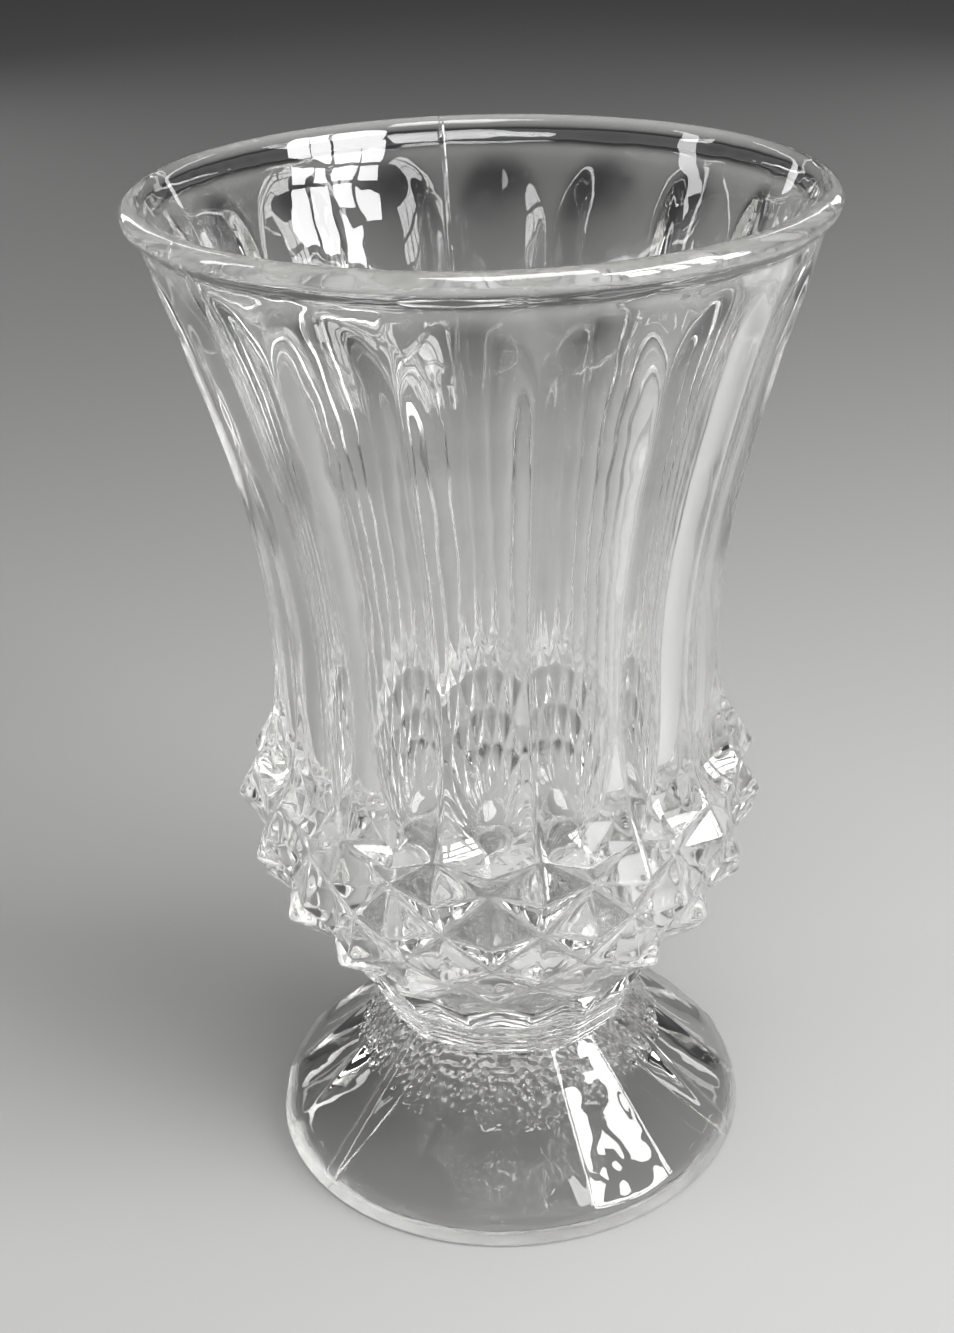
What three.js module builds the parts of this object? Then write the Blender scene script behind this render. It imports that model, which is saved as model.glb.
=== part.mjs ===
// Footed glass vase: a pressed bowl with arched flutes and rows of diamonds, on a panelled foot.
// Millimetres, +Z up. The origin is at the centre of the circle that the foot stands on.

import * as THREE from 'three';

// Heights. Each rise is measured from the one before it, from the join up to the waist.
const overallHeight = 180;
const joinHeight = 25.6;
const neckRise = 8.4;
const bandRise = 8.8;
const cornerRise = 37.3;
const waistRise = 21.9;

// Outer radii
const rimRadius = 57;
const footRadius = 44.6;
const joinRadius = 22.8;
const neckSwell = 3.8;
const cornerRadius = 44.3;
const waistRadius = 39.6;

// Glass thickness
const wallThickness = 4.3;
const baseThickness = 13;
const diamondBacking = 7.5;

// Flutes: one hollow over each gap between the diamonds of the top row
const fluteCount = 16;
const fluteDepth = 2.8;
const fluteNotchDrop = 3.2;
const scoopLength = 7;
const scoopShare = 0.8;
const scoopEnd = 0.95;
const archRise = 19;
const plainLipHeight = 6.5;
const lipFlare = 2.6;

// Diamonds: the rows from the lowest up, each with the height of its points above the band's start
const diamondRows = [
  { rise: 6.4, pointRadius: 38.8, grooveRadius: 35.4 },
  { rise: 13.8, pointRadius: 43.6, grooveRadius: 40.6 },
  { rise: 22.2, pointRadius: 45.8, grooveRadius: 43.2 },
  { rise: 31.0, pointRadius: 47.0, grooveRadius: 44.0 },
];
const bandStart = { pointRadius: 32.4, grooveRadius: 31.0 };

// Inside of the bowl
const floorFlatRadius = 8;
const floorCurve = 22;

// Foot
const footEdgeHeight = 5.2;
const footEdgeInset = 0.9;
const footChamfer = 0.9;
const panelHollow = 0.5;
const restingRingWidth = 4.4;
const recessDepth = 17;
const recessRoofRadius = 17;
const recessRoofDrop = 2.6;

// Heights above the table
const neckHeight = joinHeight + neckRise;
const bandHeight = neckHeight + bandRise;
const cornerHeight = bandHeight + cornerRise;
const waistHeight = cornerHeight + waistRise;

// How finely the round stretches are divided
const stepsPerColumn = 3;
const columnCount = 2 * fluteCount;
const fineCount = columnCount * stepsPerColumn;
const coarseCount = fineCount / 2;
const columnAngle = (2 * Math.PI) / columnCount;

// Column 0 faces -Y. Even columns carry the flute ridges, odd columns the middles of the flutes.
function ringPoint(radius, height, columns) {
  const angle = columns * columnAngle - Math.PI / 2;
  return new THREE.Vector3(radius * Math.cos(angle), radius * Math.sin(angle), height);
}

function roundRing(radius, height, count) {
  const ring = [];
  for (let step = 0; step < count; step += 1) {
    ring.push(ringPoint(radius, height, (step * columnCount) / count));
  }
  return ring;
}

function centrePoint(height) {
  return [new THREE.Vector3(0, 0, height)];
}

// A skin of triangles through a list of rings, from one point on the axis to another
class Skin {
  constructor() {
    this.positions = [];
    this.triangles = [];
  }

  add(points) {
    const first = this.positions.length / 3;
    for (const point of points) {
      this.positions.push(point.x, point.y, point.z);
    }
    return points.map((point, index) => first + index);
  }

  triangle(a, b, c) {
    this.triangles.push(a, b, c);
  }

  // Joins two rings where one has as many points as the other, or a whole number of times as many
  band(before, after) {
    const segments = Math.min(before.length, after.length);
    if (segments === 1) {
      this.fan(before, after);
      return;
    }
    const beforeSteps = before.length / segments;
    const afterSteps = after.length / segments;
    for (let segment = 0; segment < segments; segment += 1) {
      this.strip(
        this.run(before, segment * beforeSteps, beforeSteps),
        this.run(after, segment * afterSteps, afterSteps),
      );
    }
  }

  run(ring, start, steps) {
    const places = [];
    for (let step = 0; step <= steps; step += 1) {
      places.push(ring[(start + step) % ring.length]);
    }
    return places;
  }

  strip(before, after) {
    const beforeSteps = before.length - 1;
    const afterSteps = after.length - 1;
    const beforeMiddle = Math.floor(beforeSteps / 2);
    const afterMiddle = Math.floor(afterSteps / 2);
    if (afterSteps > 1) {
      this.fanAfter(before[0], after.slice(0, afterMiddle + 1));
      this.triangle(before[0], before[1], after[afterMiddle]);
      this.fanAfter(before[1], after.slice(afterMiddle));
      return;
    }
    this.fanBefore(before.slice(0, beforeMiddle + 1), after[0]);
    this.triangle(before[beforeMiddle], after[1], after[0]);
    this.fanBefore(before.slice(beforeMiddle), after[1]);
  }

  fanAfter(corner, after) {
    for (let step = 0; step + 1 < after.length; step += 1) {
      this.triangle(corner, after[step + 1], after[step]);
    }
  }

  fanBefore(before, corner) {
    for (let step = 0; step + 1 < before.length; step += 1) {
      this.triangle(before[step], before[step + 1], corner);
    }
  }

  fan(before, after) {
    if (before.length === 1) {
      this.fanAfter(before[0], [...after, after[0]]);
    } else {
      this.fanBefore([...before, before[0]], after[0]);
    }
  }

  // Joins two rings of diamonds along their grooves. The upper ring may be finer than the lower.
  diamondBand(lower, upper, lowerPointsEven) {
    const steps = upper.length / lower.length;
    for (let column = 0; column < columnCount; column += 1) {
      const left = lower[column];
      const right = lower[(column + 1) % columnCount];
      const above = this.run(upper, column * steps, steps);
      const grooveOnRight = (column % 2 === 0) === lowerPointsEven;
      if (grooveOnRight) {
        this.triangle(left, right, above[0]);
        this.fanAfter(right, above);
      } else {
        this.triangle(left, right, above[steps]);
        this.fanAfter(left, above);
      }
    }
  }

  geometry() {
    const geometry = new THREE.BufferGeometry();
    geometry.setAttribute('position', new THREE.Float32BufferAttribute(this.positions, 3));
    geometry.setIndex(this.triangles);
    geometry.computeVertexNormals();
    return geometry;
  }
}

// The outer line of the bowl along a flute ridge, from the top diamonds through the waist to the lip
const lipRadius = wallThickness / 2;
const lipCentreHeight = overallHeight - lipRadius;
const lipCentreRadius = rimRadius - lipRadius;
const archTopHeight = overallHeight - plainLipHeight;
const archTopRadius = rimRadius - lipFlare;
const flareHeight = archTopHeight - waistHeight;

const shoulderCurve = new THREE.QuadraticBezierCurve(
  new THREE.Vector2(cornerRadius, cornerHeight),
  new THREE.Vector2(waistRadius, cornerHeight + 0.35 * (waistHeight - cornerHeight)),
  new THREE.Vector2(waistRadius, waistHeight),
);
const flareCurve = new THREE.CubicBezierCurve(
  new THREE.Vector2(waistRadius, waistHeight),
  new THREE.Vector2(waistRadius, waistHeight + 0.38 * flareHeight),
  new THREE.Vector2(archTopRadius - 0.42 * (archTopRadius - waistRadius), archTopHeight - 0.36 * flareHeight),
  new THREE.Vector2(archTopRadius, archTopHeight),
);
const outerLine = [...shoulderCurve.getPoints(8), ...flareCurve.getPoints(24).slice(1)];

function radiusOnLine(line, height) {
  let place = 1;
  while (place < line.length - 1 && line[place].y < height) {
    place += 1;
  }
  const below = line[place - 1];
  const above = line[place];
  const share = (height - below.y) / (above.y - below.y);
  return below.x + share * (above.x - below.x);
}

// How far a flute is hollowed, from 0 on its ridges or above its arch to 1 in its middle
function fluteHollow(columns, height) {
  const fromMiddle = Math.abs((((columns % 2) + 2) % 2) - 1);
  const archStart = archTopHeight - archRise;
  const climb = THREE.MathUtils.clamp((height - archStart) / archRise, 0, 1);
  return Math.max(0, 1 - climb * climb - fromMiddle * fromMiddle);
}

// The lower ends of the flutes dip between the top diamonds
function fluteFoot(columns) {
  const fromRidge = 1 - Math.abs((((columns % 2) + 2) % 2) - 1);
  return cornerHeight - fluteNotchDrop * fromRidge;
}

// Depth of a flute's middle below its ridges. It runs straight down and ends in a rounded scoop.
function depthAt(columns, height) {
  const flaredBy = height < waistHeight ? Math.max(0, radiusOnLine(outerLine, height) - waistRadius) : 0;
  const aboveFoot = (height - fluteFoot(columns)) / scoopLength;
  const intoScoop = scoopEnd * THREE.MathUtils.clamp(1 - aboveFoot, 0, 1);
  return (fluteDepth + scoopShare * flaredBy) * Math.sqrt(1 - intoScoop * intoScoop);
}

function fluteRing(heightAt) {
  const ring = [];
  for (let step = 0; step < fineCount; step += 1) {
    const columns = step / stepsPerColumn;
    const height = heightAt(columns);
    const radius = radiusOnLine(outerLine, height) - depthAt(columns, height) * fluteHollow(columns, height);
    ring.push(ringPoint(radius, height, columns));
  }
  return ring;
}

function fluteRings() {
  const rings = [fluteRing(fluteFoot)];
  for (const share of [0.03, 0.09, 0.17, 0.28, 0.45, 0.7]) {
    rings.push(fluteRing((columns) => THREE.MathUtils.lerp(fluteFoot(columns), waistHeight, share)));
  }
  const plainRows = 5;
  const archStart = archTopHeight - archRise;
  for (let row = 0; row <= plainRows; row += 1) {
    const height = THREE.MathUtils.lerp(waistHeight, archStart, row / plainRows);
    rings.push(fluteRing(() => height));
  }
  for (const share of [0.3, 0.55, 0.75, 0.9, 1]) {
    const height = archStart + archRise * share;
    rings.push(fluteRing(() => height));
  }
  return rings;
}

// One ring of diamond points and groove corners, taking turns round the bowl
function diamondRing(height, pointRadius, grooveRadius, pointsEven) {
  const ring = [];
  for (let column = 0; column < columnCount; column += 1) {
    const isPoint = (column % 2 === 0) === pointsEven;
    ring.push(ringPoint(isPoint ? pointRadius : grooveRadius, height, column));
  }
  return ring;
}

// A ring with corners on the odd columns and flat sides between them
function panelRing(radius, height) {
  return diamondRing(height, radius * Math.cos(columnAngle), radius, true);
}

function lipRings() {
  const rings = [];
  for (const degrees of [-35, 0, 35, 65, 90]) {
    const angle = THREE.MathUtils.degToRad(degrees);
    const radius = lipCentreRadius + lipRadius * Math.cos(angle);
    rings.push(roundRing(radius, lipCentreHeight + lipRadius * Math.sin(angle), fineCount));
  }
  for (const degrees of [125, 165]) {
    const angle = THREE.MathUtils.degToRad(degrees);
    const radius = lipCentreRadius + lipRadius * Math.cos(angle);
    rings.push(roundRing(radius, lipCentreHeight + lipRadius * Math.sin(angle), coarseCount));
  }
  return rings;
}

// The inside follows the flare, then narrows towards a flat floor
const floorHeight = joinHeight + baseThickness;
const waistInside = waistRadius - wallThickness;
const lowInside = Math.min(waistInside, diamondRows[2].grooveRadius - diamondBacking);
const lowInsideHeight = floorHeight + floorCurve;

function insideRings() {
  const rings = [];
  const flareRows = 8;
  for (let row = 0; row < flareRows; row += 1) {
    const height = THREE.MathUtils.lerp(archTopHeight, waistHeight, row / flareRows);
    rings.push(roundRing(radiusOnLine(outerLine, height) - wallThickness, height, coarseCount));
  }
  rings.push(roundRing(waistInside, waistHeight, coarseCount));
  rings.push(roundRing(lowInside, lowInsideHeight, coarseCount));
  for (const degrees of [22.5, 45, 67.5]) {
    const angle = THREE.MathUtils.degToRad(degrees);
    const radius = floorFlatRadius + (lowInside - floorFlatRadius) * Math.cos(angle);
    rings.push(roundRing(radius, lowInsideHeight - floorCurve * Math.sin(angle), coarseCount));
  }
  rings.push(roundRing(floorFlatRadius, floorHeight, coarseCount));
  return rings;
}

function bowlGeometry() {
  const skin = new Skin();
  const join = skin.add(panelRing(joinRadius, joinHeight));
  const neck = skin.add(panelRing(joinRadius + neckSwell, neckHeight));
  skin.band(skin.add(centrePoint(joinHeight)), join);
  skin.band(join, neck);

  let lowerPointsEven = true;
  let lower = skin.add(diamondRing(bandHeight, bandStart.pointRadius, bandStart.grooveRadius, lowerPointsEven));
  skin.band(neck, lower);
  for (const row of diamondRows) {
    const height = bandHeight + row.rise;
    const upper = skin.add(diamondRing(height, row.pointRadius, row.grooveRadius, !lowerPointsEven));
    skin.diamondBand(lower, upper, lowerPointsEven);
    lower = upper;
    lowerPointsEven = !lowerPointsEven;
  }

  const flutes = fluteRings().map((ring) => skin.add(ring));
  skin.diamondBand(lower, flutes[0], lowerPointsEven);
  const upperRings = [...flutes, ...[...lipRings(), ...insideRings()].map((ring) => skin.add(ring))];
  upperRings.push(skin.add(centrePoint(floorHeight)));
  for (let place = 0; place + 1 < upperRings.length; place += 1) {
    skin.band(upperRings[place], upperRings[place + 1]);
  }
  return skin.geometry();
}

// The foot: a hollow underside, a flat ring to stand on, a round edge and flat panels up to the join
function footPanelRing(share) {
  const ring = [];
  const edgeRadius = footRadius - footEdgeInset;
  const slope = (joinHeight - footEdgeHeight) / (edgeRadius - joinRadius);
  for (let column = 0; column < columnCount; column += 1) {
    const onRidge = column % 2 === 1;
    const flat = onRidge ? 1 : Math.cos(columnAngle);
    const hollow = onRidge ? 0 : panelHollow * Math.sin(Math.PI * share);
    const radius = THREE.MathUtils.lerp(edgeRadius, joinRadius * flat, share) - hollow;
    const edgeDrop = onRidge ? 0 : (1 - share) * slope * edgeRadius * (1 - flat);
    const height = THREE.MathUtils.lerp(footEdgeHeight, joinHeight, share) - edgeDrop;
    ring.push(ringPoint(radius, height, column));
  }
  return ring;
}

function footGeometry() {
  const ringInside = footRadius - footChamfer - restingRingWidth;
  const rings = [centrePoint(recessDepth)];
  for (const share of [0.35, 0.7, 1]) {
    const height = recessDepth - recessRoofDrop * share * share;
    rings.push(roundRing(recessRoofRadius * share, height, columnCount));
  }
  rings.push(roundRing(ringInside, 0, 2 * columnCount));
  rings.push(roundRing(footRadius - footChamfer, 0, 2 * columnCount));
  rings.push(roundRing(footRadius, footChamfer, 2 * columnCount));
  for (const share of [0, 0.35, 0.7, 1]) {
    rings.push(footPanelRing(share));
  }
  rings.push(centrePoint(joinHeight));

  const skin = new Skin();
  const places = rings.map((ring) => skin.add(ring));
  for (let place = 0; place + 1 < places.length; place += 1) {
    skin.band(places[place], places[place + 1]);
  }
  return skin.geometry();
}

function clearGlass() {
  return new THREE.MeshStandardMaterial({
    color: 0xe6e8e4,
    roughness: 0.04,
    metalness: 0,
    transparent: true,
    opacity: 0.4,
  });
}

function namedMesh(name, geometry) {
  const mesh = new THREE.Mesh(geometry, clearGlass());
  mesh.name = name;
  return mesh;
}

const vase = new THREE.Group();
vase.add(namedMesh('foot', footGeometry()));
vase.add(namedMesh('bowl', bowlGeometry()));

export default vase;
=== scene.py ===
# A footed vase of clear pressed glass on a plain pale floor, in soft studio light.
# The bowl and the foot are rebuilt here with rounded ridges and points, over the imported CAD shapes.

import math

import bpy
import numpy as np
from mathutils import Matrix, Vector


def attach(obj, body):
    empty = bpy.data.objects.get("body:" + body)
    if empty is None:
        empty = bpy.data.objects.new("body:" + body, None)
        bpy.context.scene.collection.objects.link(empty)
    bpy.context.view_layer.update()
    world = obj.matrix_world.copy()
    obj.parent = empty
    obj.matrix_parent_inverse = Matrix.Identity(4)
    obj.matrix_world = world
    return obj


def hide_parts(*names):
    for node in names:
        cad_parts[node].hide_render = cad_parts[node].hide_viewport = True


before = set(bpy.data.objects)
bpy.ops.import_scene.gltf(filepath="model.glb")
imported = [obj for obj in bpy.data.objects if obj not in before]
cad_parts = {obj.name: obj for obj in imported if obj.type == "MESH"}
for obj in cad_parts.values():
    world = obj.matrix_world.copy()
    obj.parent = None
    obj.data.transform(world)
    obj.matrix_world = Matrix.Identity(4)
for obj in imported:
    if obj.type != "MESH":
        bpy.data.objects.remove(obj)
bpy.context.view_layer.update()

MM = 0.001

# Heights, in millimetres above the table
OVERALL_HEIGHT = 180.0
JOIN_HEIGHT = 25.6
NECK_HEIGHT = JOIN_HEIGHT + 8.4
BAND_HEIGHT = NECK_HEIGHT + 8.8
CORNER_HEIGHT = BAND_HEIGHT + 37.3
WAIST_HEIGHT = CORNER_HEIGHT + 21.9

# Outer radii and glass thickness
RIM_RADIUS = 57.0
FOOT_RADIUS = 44.6
JOIN_RADIUS = 22.8
NECK_SWELL = 3.8
NECK_RIB_HEIGHT = 1.5
NECK_RIB_DEPTH = 0.6
CORNER_RADIUS = 44.3
WAIST_RADIUS = 39.6
WALL_THICKNESS = 4.3
BASE_THICKNESS = 13.0
DIAMOND_BACKING = 7.5

# Flutes
FLUTE_COUNT = 16
FLUTE_DEPTH = 2.8
FLUTE_NOTCH_DROP = 3.2
SCOOP_LENGTH = 7.0
SCOOP_SHARE = 0.8
SCOOP_END = 0.95
ARCH_RISE = 19.0
PLAIN_LIP_HEIGHT = 6.5
LIP_FLARE = 2.6
ARCH_EDGE_SOFTNESS = 0.15

# Diamonds: for each row from the lowest up, its height above the band, point radius and groove radius
DIAMOND_ROWS = [
    (6.4, 38.8, 35.4),
    (13.8, 43.6, 40.6),
    (22.2, 45.8, 43.2),
    (31.0, 47.0, 44.0),
]
BAND_START = (32.4, 31.0)

# Inside of the bowl
FLOOR_FLAT_RADIUS = 8.0
FLOOR_CURVE = 22.0

# Foot
FOOT_EDGE_HEIGHT = 5.2
FOOT_EDGE_INSET = 0.9
FOOT_CHAMFER = 0.9
PANEL_HOLLOW = 0.5
RESTING_RING_WIDTH = 4.4
RECESS_DEPTH = 17.0
RECESS_ROOF_RADIUS = 17.0
RECESS_ROOF_DROP = 2.6
JOINT_OVERLAP = 0.2

# Fineness: steps in each of the 32 columns round the vase, and rows in each row of diamonds
COLUMN_COUNT = 2 * FLUTE_COUNT
COLUMN_ANGLE = 2 * math.pi / COLUMN_COUNT
STEPS = 16
AROUND = COLUMN_COUNT * STEPS
DIAMOND_STEPS = 16

# How much each crease is melted over
ROUNDING_PASSES = 3
ROUNDING_SHARE = 0.5
POINT_EXTRA = 0.7
GROOVE_EXTRA = 0.4

# The photograph's camera: where it stands in metres, where it looks in degrees, and its lens
CAMERA_PLACE = (-0.0419, -0.3076, 0.2481)
CAMERA_HEADING = 9.35
CAMERA_DOWN = 25.99
CAMERA_ROLL = -1.15
CAMERA_LENS = 52.58
CAMERA_SHIFT = (-0.0517, -0.0121)

# Glass: its tint, how it bends light, and how it dims what passes, in the solid and at each face
GLASS_TINT = (0.99, 0.99, 0.985, 1)
GLASS_IOR = 1.54
ABSORBED_TINT = (0.87, 0.87, 0.845, 1)
ABSORBED_DENSITY = 8.0
SHADOW_TINT = (0.62, 0.62, 0.612, 1)

# Surface waves, and the share of them that is left on the diamonds. Scales are in waves or grains a
# metre, heights and widths in millimetres
WAVE_SCALE = 75.0
WAVE_STRETCH = 0.5
WAVE_HEIGHT = 0.45
DIAMOND_CALM = 0.3

# The mould seams and the stipple under the foot, which stand in the material only
SEAM_WIDTH = 0.5
SEAM_HEIGHT = 0.1
STIPPLE_SCALE = 700.0
STIPPLE_HEIGHT = 1.3
STIPPLE_ROUGHNESS = 0.22
STIPPLE_END_RADIUS = RECESS_ROOF_RADIUS + 8
STIPPLE_FULL_RADIUS = RECESS_ROOF_RADIUS + 3

# Scuffs on the ring that the foot stands on
SCUFF_HEIGHT = 0.3
SCUFF_ROUGHNESS = 0.3

FLOOR_COLOUR = (0.36, 0.36, 0.354, 1)
FLOOR_ROUGHNESS = 0.7
FLOOR_HALF_WIDTH = 6.0

columns = np.arange(AROUND) / STEPS
from_middle = np.abs(columns % 2 - 1)
from_even = np.abs((columns + 1) % 2 - 1)


def ring(radius, height):
    """One row of points, at the given radius and height for each step round the vase."""
    angle = columns * COLUMN_ANGLE - math.pi / 2
    radius = np.broadcast_to(radius, (AROUND,))
    height = np.broadcast_to(height, (AROUND,))
    return np.stack([radius * np.cos(angle), radius * np.sin(angle), height], 1)


def curve_points(controls, count):
    """Points along a Bezier curve of any order, as (radius, height) pairs."""
    places = np.linspace(0, 1, count)[:, None]
    layers = [np.broadcast_to(np.array(point, float), (count, 2)) for point in controls]
    while len(layers) > 1:
        layers = [low + (high - low) * places for low, high in zip(layers, layers[1:])]
    return layers[0]


# The outer line of the bowl along a flute ridge, from the top diamonds to the lip
LIP_RADIUS = WALL_THICKNESS / 2
LIP_HEIGHT = OVERALL_HEIGHT - LIP_RADIUS
LIP_CENTRE = RIM_RADIUS - LIP_RADIUS
ARCH_TOP_HEIGHT = OVERALL_HEIGHT - PLAIN_LIP_HEIGHT
ARCH_TOP_RADIUS = RIM_RADIUS - LIP_FLARE
FLARE_HEIGHT = ARCH_TOP_HEIGHT - WAIST_HEIGHT
ARCH_START = ARCH_TOP_HEIGHT - ARCH_RISE

shoulder = curve_points(
    [
        (CORNER_RADIUS, CORNER_HEIGHT),
        (WAIST_RADIUS, CORNER_HEIGHT + 0.35 * (WAIST_HEIGHT - CORNER_HEIGHT)),
        (WAIST_RADIUS, WAIST_HEIGHT),
    ],
    24,
)
flare = curve_points(
    [
        (WAIST_RADIUS, WAIST_HEIGHT),
        (WAIST_RADIUS, WAIST_HEIGHT + 0.38 * FLARE_HEIGHT),
        (ARCH_TOP_RADIUS - 0.42 * (ARCH_TOP_RADIUS - WAIST_RADIUS), ARCH_TOP_HEIGHT - 0.36 * FLARE_HEIGHT),
        (ARCH_TOP_RADIUS, ARCH_TOP_HEIGHT),
    ],
    72,
)
below_shoulder = shoulder[0] + (shoulder[0] - shoulder[1]) * 4
outer_line = np.concatenate([[below_shoulder], shoulder, flare[1:]])


def outer_radius(height):
    return np.interp(height, outer_line[:, 1], outer_line[:, 0])


def flute_hollow(height):
    """How far the flutes are hollowed: 0 on a ridge or above the arch, up to 1 in a flute's middle."""
    climb = np.clip((height - ARCH_START) / ARCH_RISE, 0, 1)
    level = 1 - climb**2 - from_middle**2
    return (level + np.sqrt(level**2 + ARCH_EDGE_SOFTNESS**2)) / 2


def flute_depth(height, notch):
    """Depth of a flute's middle below its ridges. It runs straight down and ends in a rounded scoop."""
    below_waist = np.clip(outer_radius(height) - WAIST_RADIUS, 0, None) * (height < WAIST_HEIGHT)
    into_scoop = SCOOP_END * np.clip((notch + SCOOP_LENGTH - height) / SCOOP_LENGTH, 0, 1)
    return (FLUTE_DEPTH + below_waist * SCOOP_SHARE) * np.sqrt(1 - into_scoop**2)


def flute_rows():
    """Rows from the notches between the top diamonds up to the tops of the arches."""
    notch = CORNER_HEIGHT - FLUTE_NOTCH_DROP * from_even
    heights = [notch + (WAIST_HEIGHT - notch) * share**1.5 for share in np.linspace(0, 1, 48)]
    heights += [np.full(AROUND, height) for height in np.linspace(WAIST_HEIGHT, ARCH_START, 54)[1:]]
    heights += [np.full(AROUND, height) for height in np.linspace(ARCH_START, ARCH_TOP_HEIGHT + 1, 34)[1:]]
    rows = []
    for height in heights:
        radius = outer_radius(height) - flute_depth(height, notch) * flute_hollow(height)
        rows.append(ring(radius, height))
    return rows


def polygon_radius(corner_radius):
    """Sixteen flat sides with their corners on the odd columns."""
    angle = (1 - from_middle) * COLUMN_ANGLE
    return corner_radius * math.cos(COLUMN_ANGLE) / np.cos(COLUMN_ANGLE - angle)


def lattice_corners(height, point_radius, groove_radius, points_even):
    """The points and groove corners of one row of diamonds, taking turns round the vase."""
    places = np.arange(COLUMN_COUNT)
    radius = np.where((places % 2 == 0) == points_even, point_radius, groove_radius)
    angle = places * COLUMN_ANGLE - math.pi / 2
    return np.stack([radius * np.cos(angle), radius * np.sin(angle), np.full(COLUMN_COUNT, height)], 1)


def diamond_rows(lower, upper, points_even):
    """Rows between two rings of corners, flat on either side of the groove that crosses each column."""
    cell = np.arange(AROUND) // STEPS
    along = ((np.arange(AROUND) % STEPS) / STEPS)[:, None]
    low_left = lower[cell]
    low_right = lower[(cell + 1) % COLUMN_COUNT]
    high_left = upper[cell]
    high_right = upper[(cell + 1) % COLUMN_COUNT]
    leans_left = ((cell % 2 == 0) == points_even)[:, None]
    rows = []
    for step in range(DIAMOND_STEPS):
        up = step / DIAMOND_STEPS
        near_low = low_left + along * (low_right - low_left) + up * (high_left - low_left)
        near_high = high_right + (1 - along) * (high_left - high_right) + (1 - up) * (low_right - high_right)
        left_version = np.where(along + up <= 1, near_low, near_high)
        under = low_left + (along - up) * (low_right - low_left) + up * (high_right - low_left)
        over = low_left + (up - along) * (high_left - low_left) + along * (high_right - low_left)
        right_version = np.where(along >= up, under, over)
        rows.append(np.where(leans_left, left_version, right_version))
    return rows, leans_left[:, 0]


def arc_rows(centre_radius, centre_height, radius, degrees):
    """Rows round a circular section, such as the lip."""
    rows = []
    for angle in np.radians(degrees):
        rows.append(ring(centre_radius + radius * math.cos(angle), centre_height + radius * math.sin(angle)))
    return rows


class Surface:
    """A closed surface made from rows round the axis, with a point on the axis at each end."""

    def __init__(self, start_height):
        self.start_height = start_height
        self.rows = []
        self.leans = []

    def add(self, rows, leans_left=None):
        for row in rows:
            self.rows.append(row)
            self.leans.append(np.zeros(AROUND, bool) if leans_left is None else leans_left)

    def mesh(self, name, end_height, rounded_rows):
        rows = np.array(self.rows)
        first, last = rounded_rows
        for _ in range(ROUNDING_PASSES):
            inner = rows[first:last]
            around = (np.roll(inner, 1, 1) + np.roll(inner, -1, 1)) / 2
            along = (rows[first - 1 : last - 1] + rows[first + 1 : last + 1]) / 2
            inner = inner + ROUNDING_SHARE * ((around + along) / 2 - inner)
            rows = np.concatenate([rows[:first], inner, rows[last:]])
        count = len(rows)
        points = np.concatenate([[[0, 0, self.start_height]], rows.reshape(-1, 3), [[0, 0, end_height]]])

        here = np.arange(AROUND)
        there = (here + 1) % AROUND
        faces = [np.stack([np.zeros(AROUND, int), 1 + there, 1 + here], 1)]
        for row in range(count - 1):
            low = 1 + row * AROUND
            high = low + AROUND
            a, b, c, d = low + here, low + there, high + there, high + here
            leans = self.leans[row]
            faces.append(np.where(leans[:, None], np.stack([a, b, d], 1), np.stack([a, b, c], 1)))
            faces.append(np.where(leans[:, None], np.stack([b, c, d], 1), np.stack([a, c, d], 1)))
        top = 1 + (count - 1) * AROUND
        faces.append(np.stack([top + here, top + there, np.full(AROUND, len(points) - 1)], 1))
        return triangle_mesh(name, points * MM, np.concatenate(faces))


def triangle_mesh(name, points, faces):
    mesh = bpy.data.meshes.new(name)
    mesh.vertices.add(len(points))
    mesh.vertices.foreach_set("co", points.astype(np.float32).ravel())
    mesh.loops.add(faces.size)
    mesh.loops.foreach_set("vertex_index", faces.astype(np.int32).ravel())
    mesh.polygons.add(len(faces))
    mesh.polygons.foreach_set("loop_start", np.arange(0, faces.size, 3, dtype=np.int32))
    mesh.polygons.foreach_set("use_smooth", np.ones(len(faces), bool))
    mesh.update(calc_edges=True)
    mesh.validate()
    mesh.set_sharp_from_angle(angle=math.radians(55))
    return mesh


# The bowl, from the middle of its underside up the outside, over the lip and down to the inside floor
floor_height = JOIN_HEIGHT + BASE_THICKNESS
waist_inside = WAIST_RADIUS - WALL_THICKNESS
low_inside = min(waist_inside, DIAMOND_ROWS[2][2] - DIAMOND_BACKING)
low_inside_height = floor_height + FLOOR_CURVE


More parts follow.
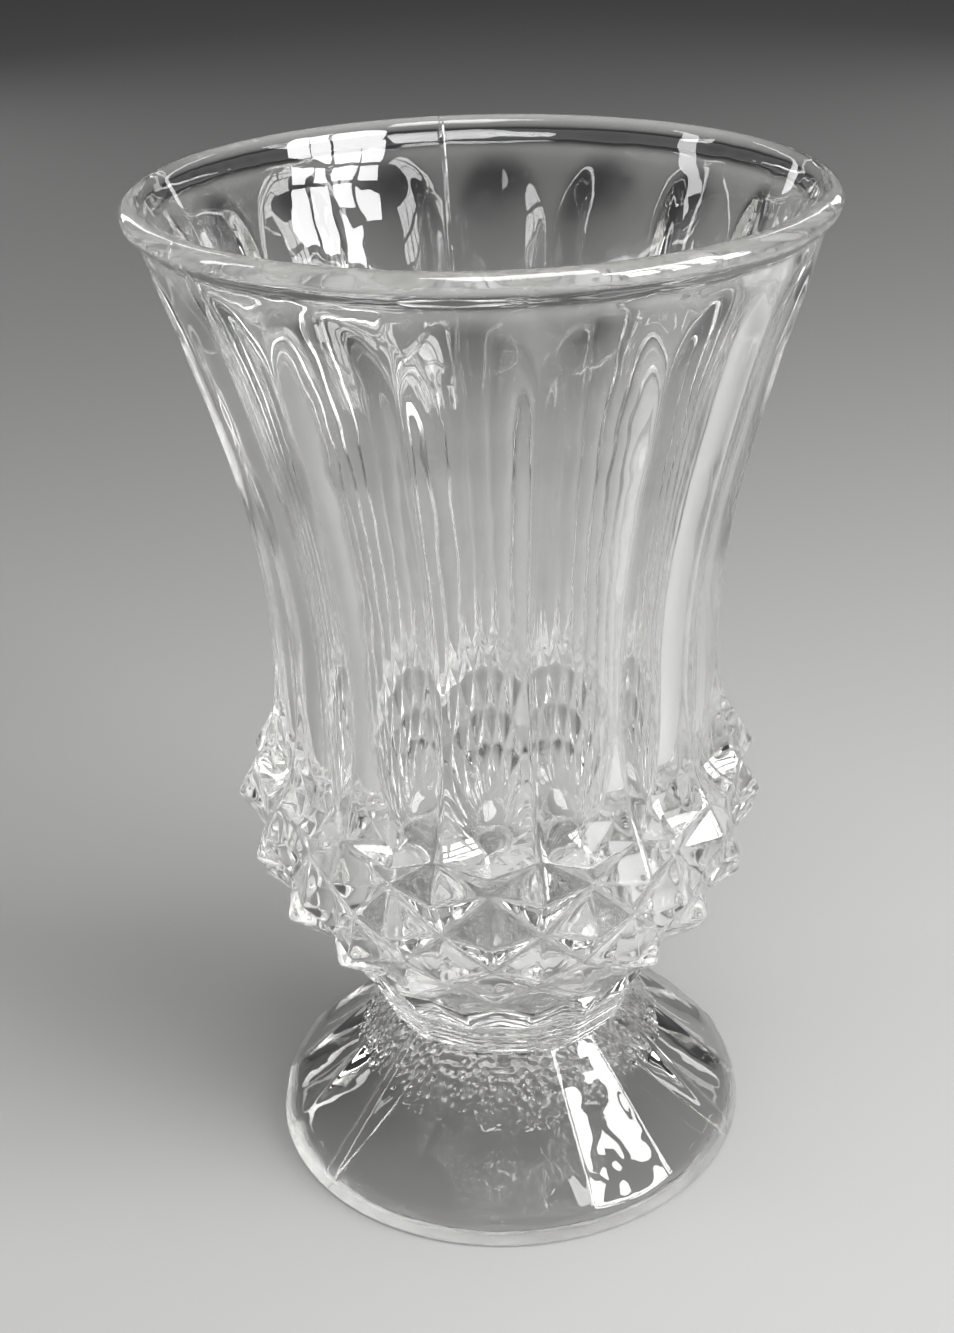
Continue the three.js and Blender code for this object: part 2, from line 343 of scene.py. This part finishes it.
def bowl_mesh():
    surface = Surface(JOIN_HEIGHT)
    surface.add([ring(polygon_radius(JOIN_RADIUS * share), JOIN_HEIGHT) for share in (0.3, 0.6, 0.85, 0.97)])
    outside_from = len(surface.rows) + 1
    for share in np.linspace(0, 1, 49)[:-1]:
        height = JOIN_HEIGHT + (NECK_HEIGHT - JOIN_HEIGHT) * share
        rib = NECK_RIB_DEPTH * np.sin(2 * math.pi * (height - JOIN_HEIGHT) / NECK_RIB_HEIGHT)
        surface.add([ring(polygon_radius(JOIN_RADIUS + NECK_SWELL * share) + rib, height)])

    points_even = True
    lower = lattice_corners(BAND_HEIGHT, *BAND_START, points_even)
    neck_top = ring(polygon_radius(JOIN_RADIUS + NECK_SWELL), NECK_HEIGHT)
    band_bottom = diamond_rows(lower, lower, points_even)[0][0]
    for share in np.linspace(0, 1, 17)[:-1]:
        surface.add([neck_top + (band_bottom - neck_top) * share])
    for rise, point_radius, groove_radius in DIAMOND_ROWS:
        upper = lattice_corners(
            BAND_HEIGHT + rise, point_radius + POINT_EXTRA, groove_radius - GROOVE_EXTRA, not points_even
        )
        surface.add(*diamond_rows(lower, upper, points_even))
        lower = upper
        points_even = not points_even
    flutes = flute_rows()
    surface.add(*diamond_rows(lower, flutes[0][::STEPS], points_even))
    surface.add(flutes)

    lip_start = arc_rows(LIP_CENTRE, LIP_HEIGHT, LIP_RADIUS, [-35])[0]
    surface.add([flutes[-1] + (lip_start - flutes[-1]) * share for share in (0.33, 0.66)])
    surface.add(arc_rows(LIP_CENTRE, LIP_HEIGHT, LIP_RADIUS, np.linspace(-35, 168, 30)))

    for height in np.linspace(ARCH_TOP_HEIGHT, WAIST_HEIGHT, 48):
        surface.add([ring(outer_radius(height) - WALL_THICKNESS, height)])
    for height in np.linspace(WAIST_HEIGHT, low_inside_height, 20)[1:]:
        surface.add([ring(low_inside, height)])
    for angle in np.radians(np.linspace(0, 90, 22)[1:]):
        radius = FLOOR_FLAT_RADIUS + (low_inside - FLOOR_FLAT_RADIUS) * math.cos(angle)
        surface.add([ring(radius, low_inside_height - FLOOR_CURVE * math.sin(angle))])
    surface.add([ring(FLOOR_FLAT_RADIUS * share, floor_height) for share in (0.75, 0.5, 0.25)])
    return surface.mesh("bowl_glass", floor_height, (outside_from, len(surface.rows) - 1))


# The foot, from the middle of its hollow underside, over the edge and up the panels to the joint
def foot_mesh():
    ring_inside = FOOT_RADIUS - FOOT_CHAMFER - RESTING_RING_WIDTH
    surface = Surface(RECESS_DEPTH)
    roof_edge = RECESS_DEPTH - RECESS_ROOF_DROP
    for share in np.linspace(0, 1, 22)[1:]:
        surface.add([ring(RECESS_ROOF_RADIUS * share, RECESS_DEPTH - RECESS_ROOF_DROP * share**2)])
    for share in np.linspace(0, 1, 26)[1:]:
        radius = RECESS_ROOF_RADIUS + (ring_inside - RECESS_ROOF_RADIUS) * share
        surface.add([ring(radius, roof_edge * (1 - share))])
    for share in (0.12, 0.5, 0.88):
        surface.add([ring(ring_inside + RESTING_RING_WIDTH * share, 0)])
    surface.add(arc_rows(FOOT_RADIUS - FOOT_CHAMFER, FOOT_CHAMFER, FOOT_CHAMFER, np.linspace(-90, 0, 8)))

    edge_radius = FOOT_RADIUS - FOOT_EDGE_INSET
    across = np.cos((1 - from_middle) * COLUMN_ANGLE)
    flat = math.cos(COLUMN_ANGLE)
    slope = (JOIN_HEIGHT - FOOT_EDGE_HEIGHT) / ((edge_radius - JOIN_RADIUS) * flat)
    panel_edge_height = FOOT_EDGE_HEIGHT - slope * edge_radius * (across - flat)
    for share in np.linspace(0, 1, 10)[1:-1]:
        height = FOOT_CHAMFER + (panel_edge_height - FOOT_CHAMFER) * share
        surface.add([ring(FOOT_RADIUS - FOOT_EDGE_INSET * share, height)])
    hollow_across = 1 - (1 - from_middle) ** 2
    for share in np.linspace(0, 1, 60):
        radius = edge_radius + (JOIN_RADIUS * flat / across - edge_radius) * share
        height = FOOT_EDGE_HEIGHT - slope * (radius * across - edge_radius * flat)
        dip = PANEL_HOLLOW * math.sin(math.pi * share) * hollow_across
        surface.add([ring(radius - dip, height)])
    outside_to = len(surface.rows) - 1
    top = JOIN_HEIGHT + JOINT_OVERLAP
    surface.add([ring(polygon_radius(JOIN_RADIUS * share), top) for share in (0.995, 0.9, 0.6, 0.3)])
    return surface.mesh("foot_glass", top, (1, outside_to))


# Materials
def new_material(name):
    material = bpy.data.materials.new(name)
    material.use_nodes = True
    nodes = material.node_tree.nodes
    nodes.clear()
    return material, nodes, material.node_tree.links


def math_node(nodes, links, operation, *values):
    """One sum on values that are each a socket or a number."""
    node = nodes.new("ShaderNodeMath")
    node.operation = operation
    for socket, value in zip(node.inputs, values):
        if isinstance(value, (int, float)):
            socket.default_value = value
        else:
            links.new(value, socket)
    return node.outputs["Value"]


def fade(nodes, links, value, start, end, most=1.0, interpolation="LINEAR"):
    """0 where the value is at start, rising to the most where it reaches end."""
    node = nodes.new("ShaderNodeMapRange")
    node.interpolation_type = interpolation
    node.inputs["From Min"].default_value = start
    node.inputs["From Max"].default_value = end
    node.inputs["To Max"].default_value = most
    links.new(value, node.inputs["Value"])
    return node.outputs["Result"]


def bumped(nodes, links, height, distance, normal=None):
    """The normal of a surface raised by a pattern whose value of 1 stands the distance high, in metres."""
    node = nodes.new("ShaderNodeBump")
    node.inputs["Strength"].default_value = 1.0
    node.inputs["Distance"].default_value = distance
    links.new(height, node.inputs["Height"])
    if normal is not None:
        links.new(normal, node.inputs["Normal"])
    return node.outputs["Normal"]


def surface_waves(nodes, links, place, height):
    """Slow waves left by the mould and the fire polish, calmer on the crisp diamonds."""
    stretch = nodes.new("ShaderNodeMapping")
    stretch.inputs["Scale"].default_value = (1.0, 1.0, WAVE_STRETCH)
    links.new(place, stretch.inputs["Vector"])
    waves = nodes.new("ShaderNodeTexNoise")
    waves.inputs["Scale"].default_value = WAVE_SCALE
    waves.inputs["Detail"].default_value = 2.0
    links.new(stretch.outputs["Vector"], waves.inputs["Vector"])

    calm = nodes.new("ShaderNodeValToRGB")
    calm.color_ramp.elements[0].position = (BAND_HEIGHT - 4) / OVERALL_HEIGHT
    calm.color_ramp.elements[0].color = (1, 1, 1, 1)
    calm.color_ramp.elements[1].position = (CORNER_HEIGHT + 6) / OVERALL_HEIGHT
    calm.color_ramp.elements[1].color = (1, 1, 1, 1)
    for level in (BAND_HEIGHT + 2, CORNER_HEIGHT - 2):
        element = calm.color_ramp.elements.new(level / OVERALL_HEIGHT)
        element.color = (DIAMOND_CALM, DIAMOND_CALM, DIAMOND_CALM, 1)
    links.new(fade(nodes, links, height, 0.0, OVERALL_HEIGHT * MM), calm.inputs["Fac"])
    wave = math_node(nodes, links, "MULTIPLY", waves.outputs["Fac"], calm.outputs["Color"])
    return bumped(nodes, links, wave, WAVE_HEIGHT * MM)


def roof_mask(nodes, links, split):
    """1 on the roof of the hollow under the foot, fading out a little way down the hollow's sides."""
    flat_place = nodes.new("ShaderNodeCombineXYZ")
    links.new(split.outputs["X"], flat_place.inputs["X"])
    links.new(split.outputs["Y"], flat_place.inputs["Y"])
    from_axis = nodes.new("ShaderNodeVectorMath")
    from_axis.operation = "LENGTH"
    links.new(flat_place.outputs["Vector"], from_axis.inputs[0])
    radius = from_axis.outputs["Value"]
    near_axis = fade(nodes, links, radius, STIPPLE_END_RADIUS * MM, STIPPLE_FULL_RADIUS * MM)
    low_down = math_node(nodes, links, "LESS_THAN", split.outputs["Z"], (RECESS_DEPTH + 1) * MM)
    return math_node(nodes, links, "MULTIPLY", near_axis, low_down)


def stippled_roof(nodes, links, place, on_roof, normal):
    """Small grains all over the roof of the hollow."""
    grains = nodes.new("ShaderNodeTexVoronoi")
    grains.feature = "SMOOTH_F1"
    grains.inputs["Scale"].default_value = STIPPLE_SCALE
    links.new(place, grains.inputs["Vector"])
    height = math_node(nodes, links, "MULTIPLY", grains.outputs["Distance"], on_roof)
    return bumped(nodes, links, height, STIPPLE_HEIGHT * MM, normal)


def mould_seams(nodes, links, split, normal):
    """Faint seams where the three parts of the mould met."""
    around = math_node(nodes, links, "ARCTAN2", split.outputs["X"], split.outputs["Y"])
    in_third = math_node(nodes, links, "WRAP", around, math.pi / 3, -math.pi / 3)
    from_seam = math_node(nodes, links, "ABSOLUTE", in_third)
    seam = fade(nodes, links, from_seam, SEAM_WIDTH / WAIST_RADIUS, 0.0, interpolation="SMOOTHSTEP")
    return bumped(nodes, links, seam, SEAM_HEIGHT * MM, normal)


def clear_glass():
    material, nodes, links = new_material("clear_glass")
    output = nodes.new("ShaderNodeOutputMaterial")
    glass = nodes.new("ShaderNodeBsdfPrincipled")
    glass.inputs["Base Color"].default_value = GLASS_TINT
    glass.inputs["Transmission Weight"].default_value = 1.0
    glass.inputs["IOR"].default_value = GLASS_IOR
    glass.inputs["Roughness"].default_value = 0.0

    coordinates = nodes.new("ShaderNodeTexCoord")
    place = coordinates.outputs["Object"]
    split = nodes.new("ShaderNodeSeparateXYZ")
    links.new(place, split.inputs["Vector"])
    height = split.outputs["Z"]

    on_roof = roof_mask(nodes, links, split)
    normal = surface_waves(nodes, links, place, height)
    normal = stippled_roof(nodes, links, place, on_roof, normal)
    normal = mould_seams(nodes, links, split, normal)
    links.new(normal, glass.inputs["Normal"])

    scuffs = fade(nodes, links, height, SCUFF_HEIGHT * MM, 0.0, most=SCUFF_ROUGHNESS)
    roughness = math_node(nodes, links, "MULTIPLY_ADD", on_roof, STIPPLE_ROUGHNESS, scuffs)
    links.new(roughness, glass.inputs["Roughness"])

    absorb = nodes.new("ShaderNodeVolumeAbsorption")
    absorb.inputs["Color"].default_value = ABSORBED_TINT
    absorb.inputs["Density"].default_value = ABSORBED_DENSITY
    links.new(absorb.outputs["Volume"], output.inputs["Volume"])

    # Light reaches the floor straight through the glass, dimmed at each face
    path = nodes.new("ShaderNodeLightPath")
    passing = nodes.new("ShaderNodeBsdfTransparent")
    passing.inputs["Color"].default_value = SHADOW_TINT
    rays = (path.outputs["Is Shadow Ray"], path.outputs["Is Diffuse Ray"])
    either = math_node(nodes, links, "MAXIMUM", *rays)
    mix = nodes.new("ShaderNodeMixShader")
    links.new(either, mix.inputs["Fac"])
    links.new(glass.outputs["BSDF"], mix.inputs[1])
    links.new(passing.outputs["BSDF"], mix.inputs[2])
    links.new(mix.outputs["Shader"], output.inputs["Surface"])
    return material


def floor_material():
    material, nodes, links = new_material("pale_floor")
    output = nodes.new("ShaderNodeOutputMaterial")
    surface = nodes.new("ShaderNodeBsdfPrincipled")
    surface.inputs["Roughness"].default_value = FLOOR_ROUGHNESS
    surface.inputs["Base Color"].default_value = FLOOR_COLOUR
    links.new(surface.outputs["BSDF"], output.inputs["Surface"])
    return material


def add_piece(mesh, node, material):
    piece = bpy.data.objects.new(mesh.name, mesh)
    bpy.context.scene.collection.objects.link(piece)
    mesh.materials.append(material)
    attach(piece, "root")
    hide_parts(node)


def add_floor():
    far = FLOOR_HALF_WIDTH
    corners = [(-far, -far, 0), (far, -far, 0), (far, far, 0), (-far, far, 0)]
    mesh = bpy.data.meshes.new("floor")
    mesh.from_pydata(corners, [], [(0, 1, 2, 3)])
    mesh.materials.append(floor_material())
    floor = bpy.data.objects.new("floor", mesh)
    bpy.context.scene.collection.objects.link(floor)


# Light: what the panels face and stand round. Lengths are in metres and angles in degrees
LIGHT_TARGET = Vector((0, 0, 0.09))
POOL_TARGET = Vector((0, -0.07, 0))

# Two windows, each of three levels with two panes
WINDOW_AZIMUTHS = {"left": 45, "right": 67}
PANE_ELEVATIONS = {"low": 15, "middle": 28, "high": 41}
PANE_OFFSETS = {"left": -5.2, "right": 5.2}
PANE_DISTANCE = 0.9
PANE_WIDTH = 0.12
PANE_HEIGHT = 0.165
PANE_RADIANCE = 18

# Upright strips: name, azimuth, elevation, distance, width, height and radiance
STRIPS = [
    ("left_strip", -100, 30, 0.9, 0.10, 0.5, 9),
    ("back_left_strip", 204, 22, 1.2, 0.12, 0.9, 4),
    ("back_right_strip", 139, 22, 1.2, 0.12, 0.9, 4),
]


def add_softbox(name, azimuth, elevation, distance, width, height, radiance, spread=180, aim=LIGHT_TARGET):
    """A panel that faces its aim. Azimuth 0 stands in front, on the -Y side, and 90 on the +X side."""
    light = bpy.data.lights.new(name, "AREA")
    light.shape = "RECTANGLE"
    light.size = width
    light.size_y = height
    light.energy = radiance * math.pi * width * height
    light.spread = math.radians(spread)
    softbox = bpy.data.objects.new(name, light)
    turn, rise = math.radians(azimuth), math.radians(elevation)
    direction = Vector((math.sin(turn) * math.cos(rise), -math.cos(turn) * math.cos(rise), math.sin(rise)))
    softbox.location = LIGHT_TARGET + direction * distance
    softbox.rotation_euler = (aim - softbox.location).to_track_quat("-Z", "Y").to_euler()
    bpy.context.scene.collection.objects.link(softbox)


def add_lights():
    for window, azimuth in WINDOW_AZIMUTHS.items():
        for level, elevation in PANE_ELEVATIONS.items():
            for side, offset in PANE_OFFSETS.items():
                name = f"{window}_window_{level}_{side}"
                place = (azimuth + offset, elevation, PANE_DISTANCE)
                add_softbox(name, *place, PANE_WIDTH, PANE_HEIGHT, PANE_RADIANCE)
    for strip in STRIPS:
        add_softbox(*strip)
    add_softbox("pool", 12, 72, 0.6, 0.3, 0.3, 3.2, spread=90, aim=POOL_TARGET)


def add_world():
    """A dim grey surround, darkest a little above the horizon."""
    world = bpy.data.worlds.new("studio")
    bpy.context.scene.world = world
    world.use_nodes = True
    nodes = world.node_tree.nodes
    links = world.node_tree.links
    nodes.clear()
    output = nodes.new("ShaderNodeOutputWorld")
    background = nodes.new("ShaderNodeBackground")
    place = nodes.new("ShaderNodeTexCoord")
    split = nodes.new("ShaderNodeSeparateXYZ")
    ramp = nodes.new("ShaderNodeValToRGB")
    ramp.color_ramp.elements[0].position = 0.0
    ramp.color_ramp.elements[0].color = (0.10, 0.10, 0.103, 1)
    ramp.color_ramp.elements[1].position = 1.0
    ramp.color_ramp.elements[1].color = (0.10, 0.10, 0.105, 1)
    dark = ramp.color_ramp.elements.new(0.3)
    dark.color = (0.03, 0.03, 0.031, 1)
    links.new(place.outputs["Generated"], split.inputs["Vector"])
    links.new(split.outputs["Z"], ramp.inputs["Fac"])
    links.new(ramp.outputs["Color"], background.inputs["Color"])
    links.new(background.outputs["Background"], output.inputs["Surface"])


def add_camera():
    data = bpy.data.cameras.new("camera")
    data.sensor_width = 36
    data.lens = CAMERA_LENS
    data.shift_x, data.shift_y = CAMERA_SHIFT
    data.clip_start = 0.01
    data.clip_end = 50
    camera = bpy.data.objects.new("camera", data)
    turn = Matrix.Rotation(math.radians(-CAMERA_HEADING), 4, "Z")
    tilt = Matrix.Rotation(math.radians(90 - CAMERA_DOWN), 4, "X")
    roll = Matrix.Rotation(math.radians(CAMERA_ROLL), 4, "Z")
    camera.matrix_world = Matrix.Translation(CAMERA_PLACE) @ turn @ tilt @ roll
    bpy.context.scene.collection.objects.link(camera)
    bpy.context.scene.camera = camera


add_camera()
add_world()
add_floor()
glass = clear_glass()
add_piece(bowl_mesh(), "bowl", glass)
add_piece(foot_mesh(), "foot", glass)
add_lights()

scene = bpy.context.scene
scene.view_settings.view_transform = "Standard"
scene.cycles.max_bounces = 64
scene.cycles.transmission_bounces = 64
scene.cycles.glossy_bounces = 64
